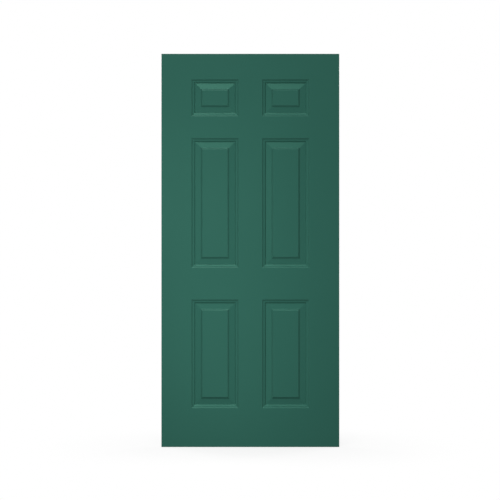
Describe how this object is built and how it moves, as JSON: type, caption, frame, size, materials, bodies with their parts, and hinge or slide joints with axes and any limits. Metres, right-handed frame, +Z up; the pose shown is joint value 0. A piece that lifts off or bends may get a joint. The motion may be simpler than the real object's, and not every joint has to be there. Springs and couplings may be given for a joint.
{
  "type": "panelled front door leaf",
  "caption": "Insulated steel front door leaf with raised panels pressed into both faces, a timber frame inside and recesses for hinges in one edge.",
  "frame": {"origin": "middle of the leaf's bottom edge", "axes": "+Z up, +X from the hinge edge to the lock edge, outside face towards -Y and inside face towards +Y"},
  "size_m": [0.908, 0.0446, 2.007],
  "materials": {
    "facing_paint": "satin green paint on pressed steel",
    "pine": "planed softwood",
    "foam": "rigid foam",
    "staple_wire": "galvanised wire"
  },
  "bodies": {
    "root": {"exterior_facing": "facing_paint", "interior_facing": "facing_paint", "hinge_stile": "pine", "lock_stile": "pine", "top_rail": "pine", "bottom_rail": "pine", "lock_block": "pine", "foam_core": "foam", "corner_staples": "staple_wire"}
  },
  "joints": []
}
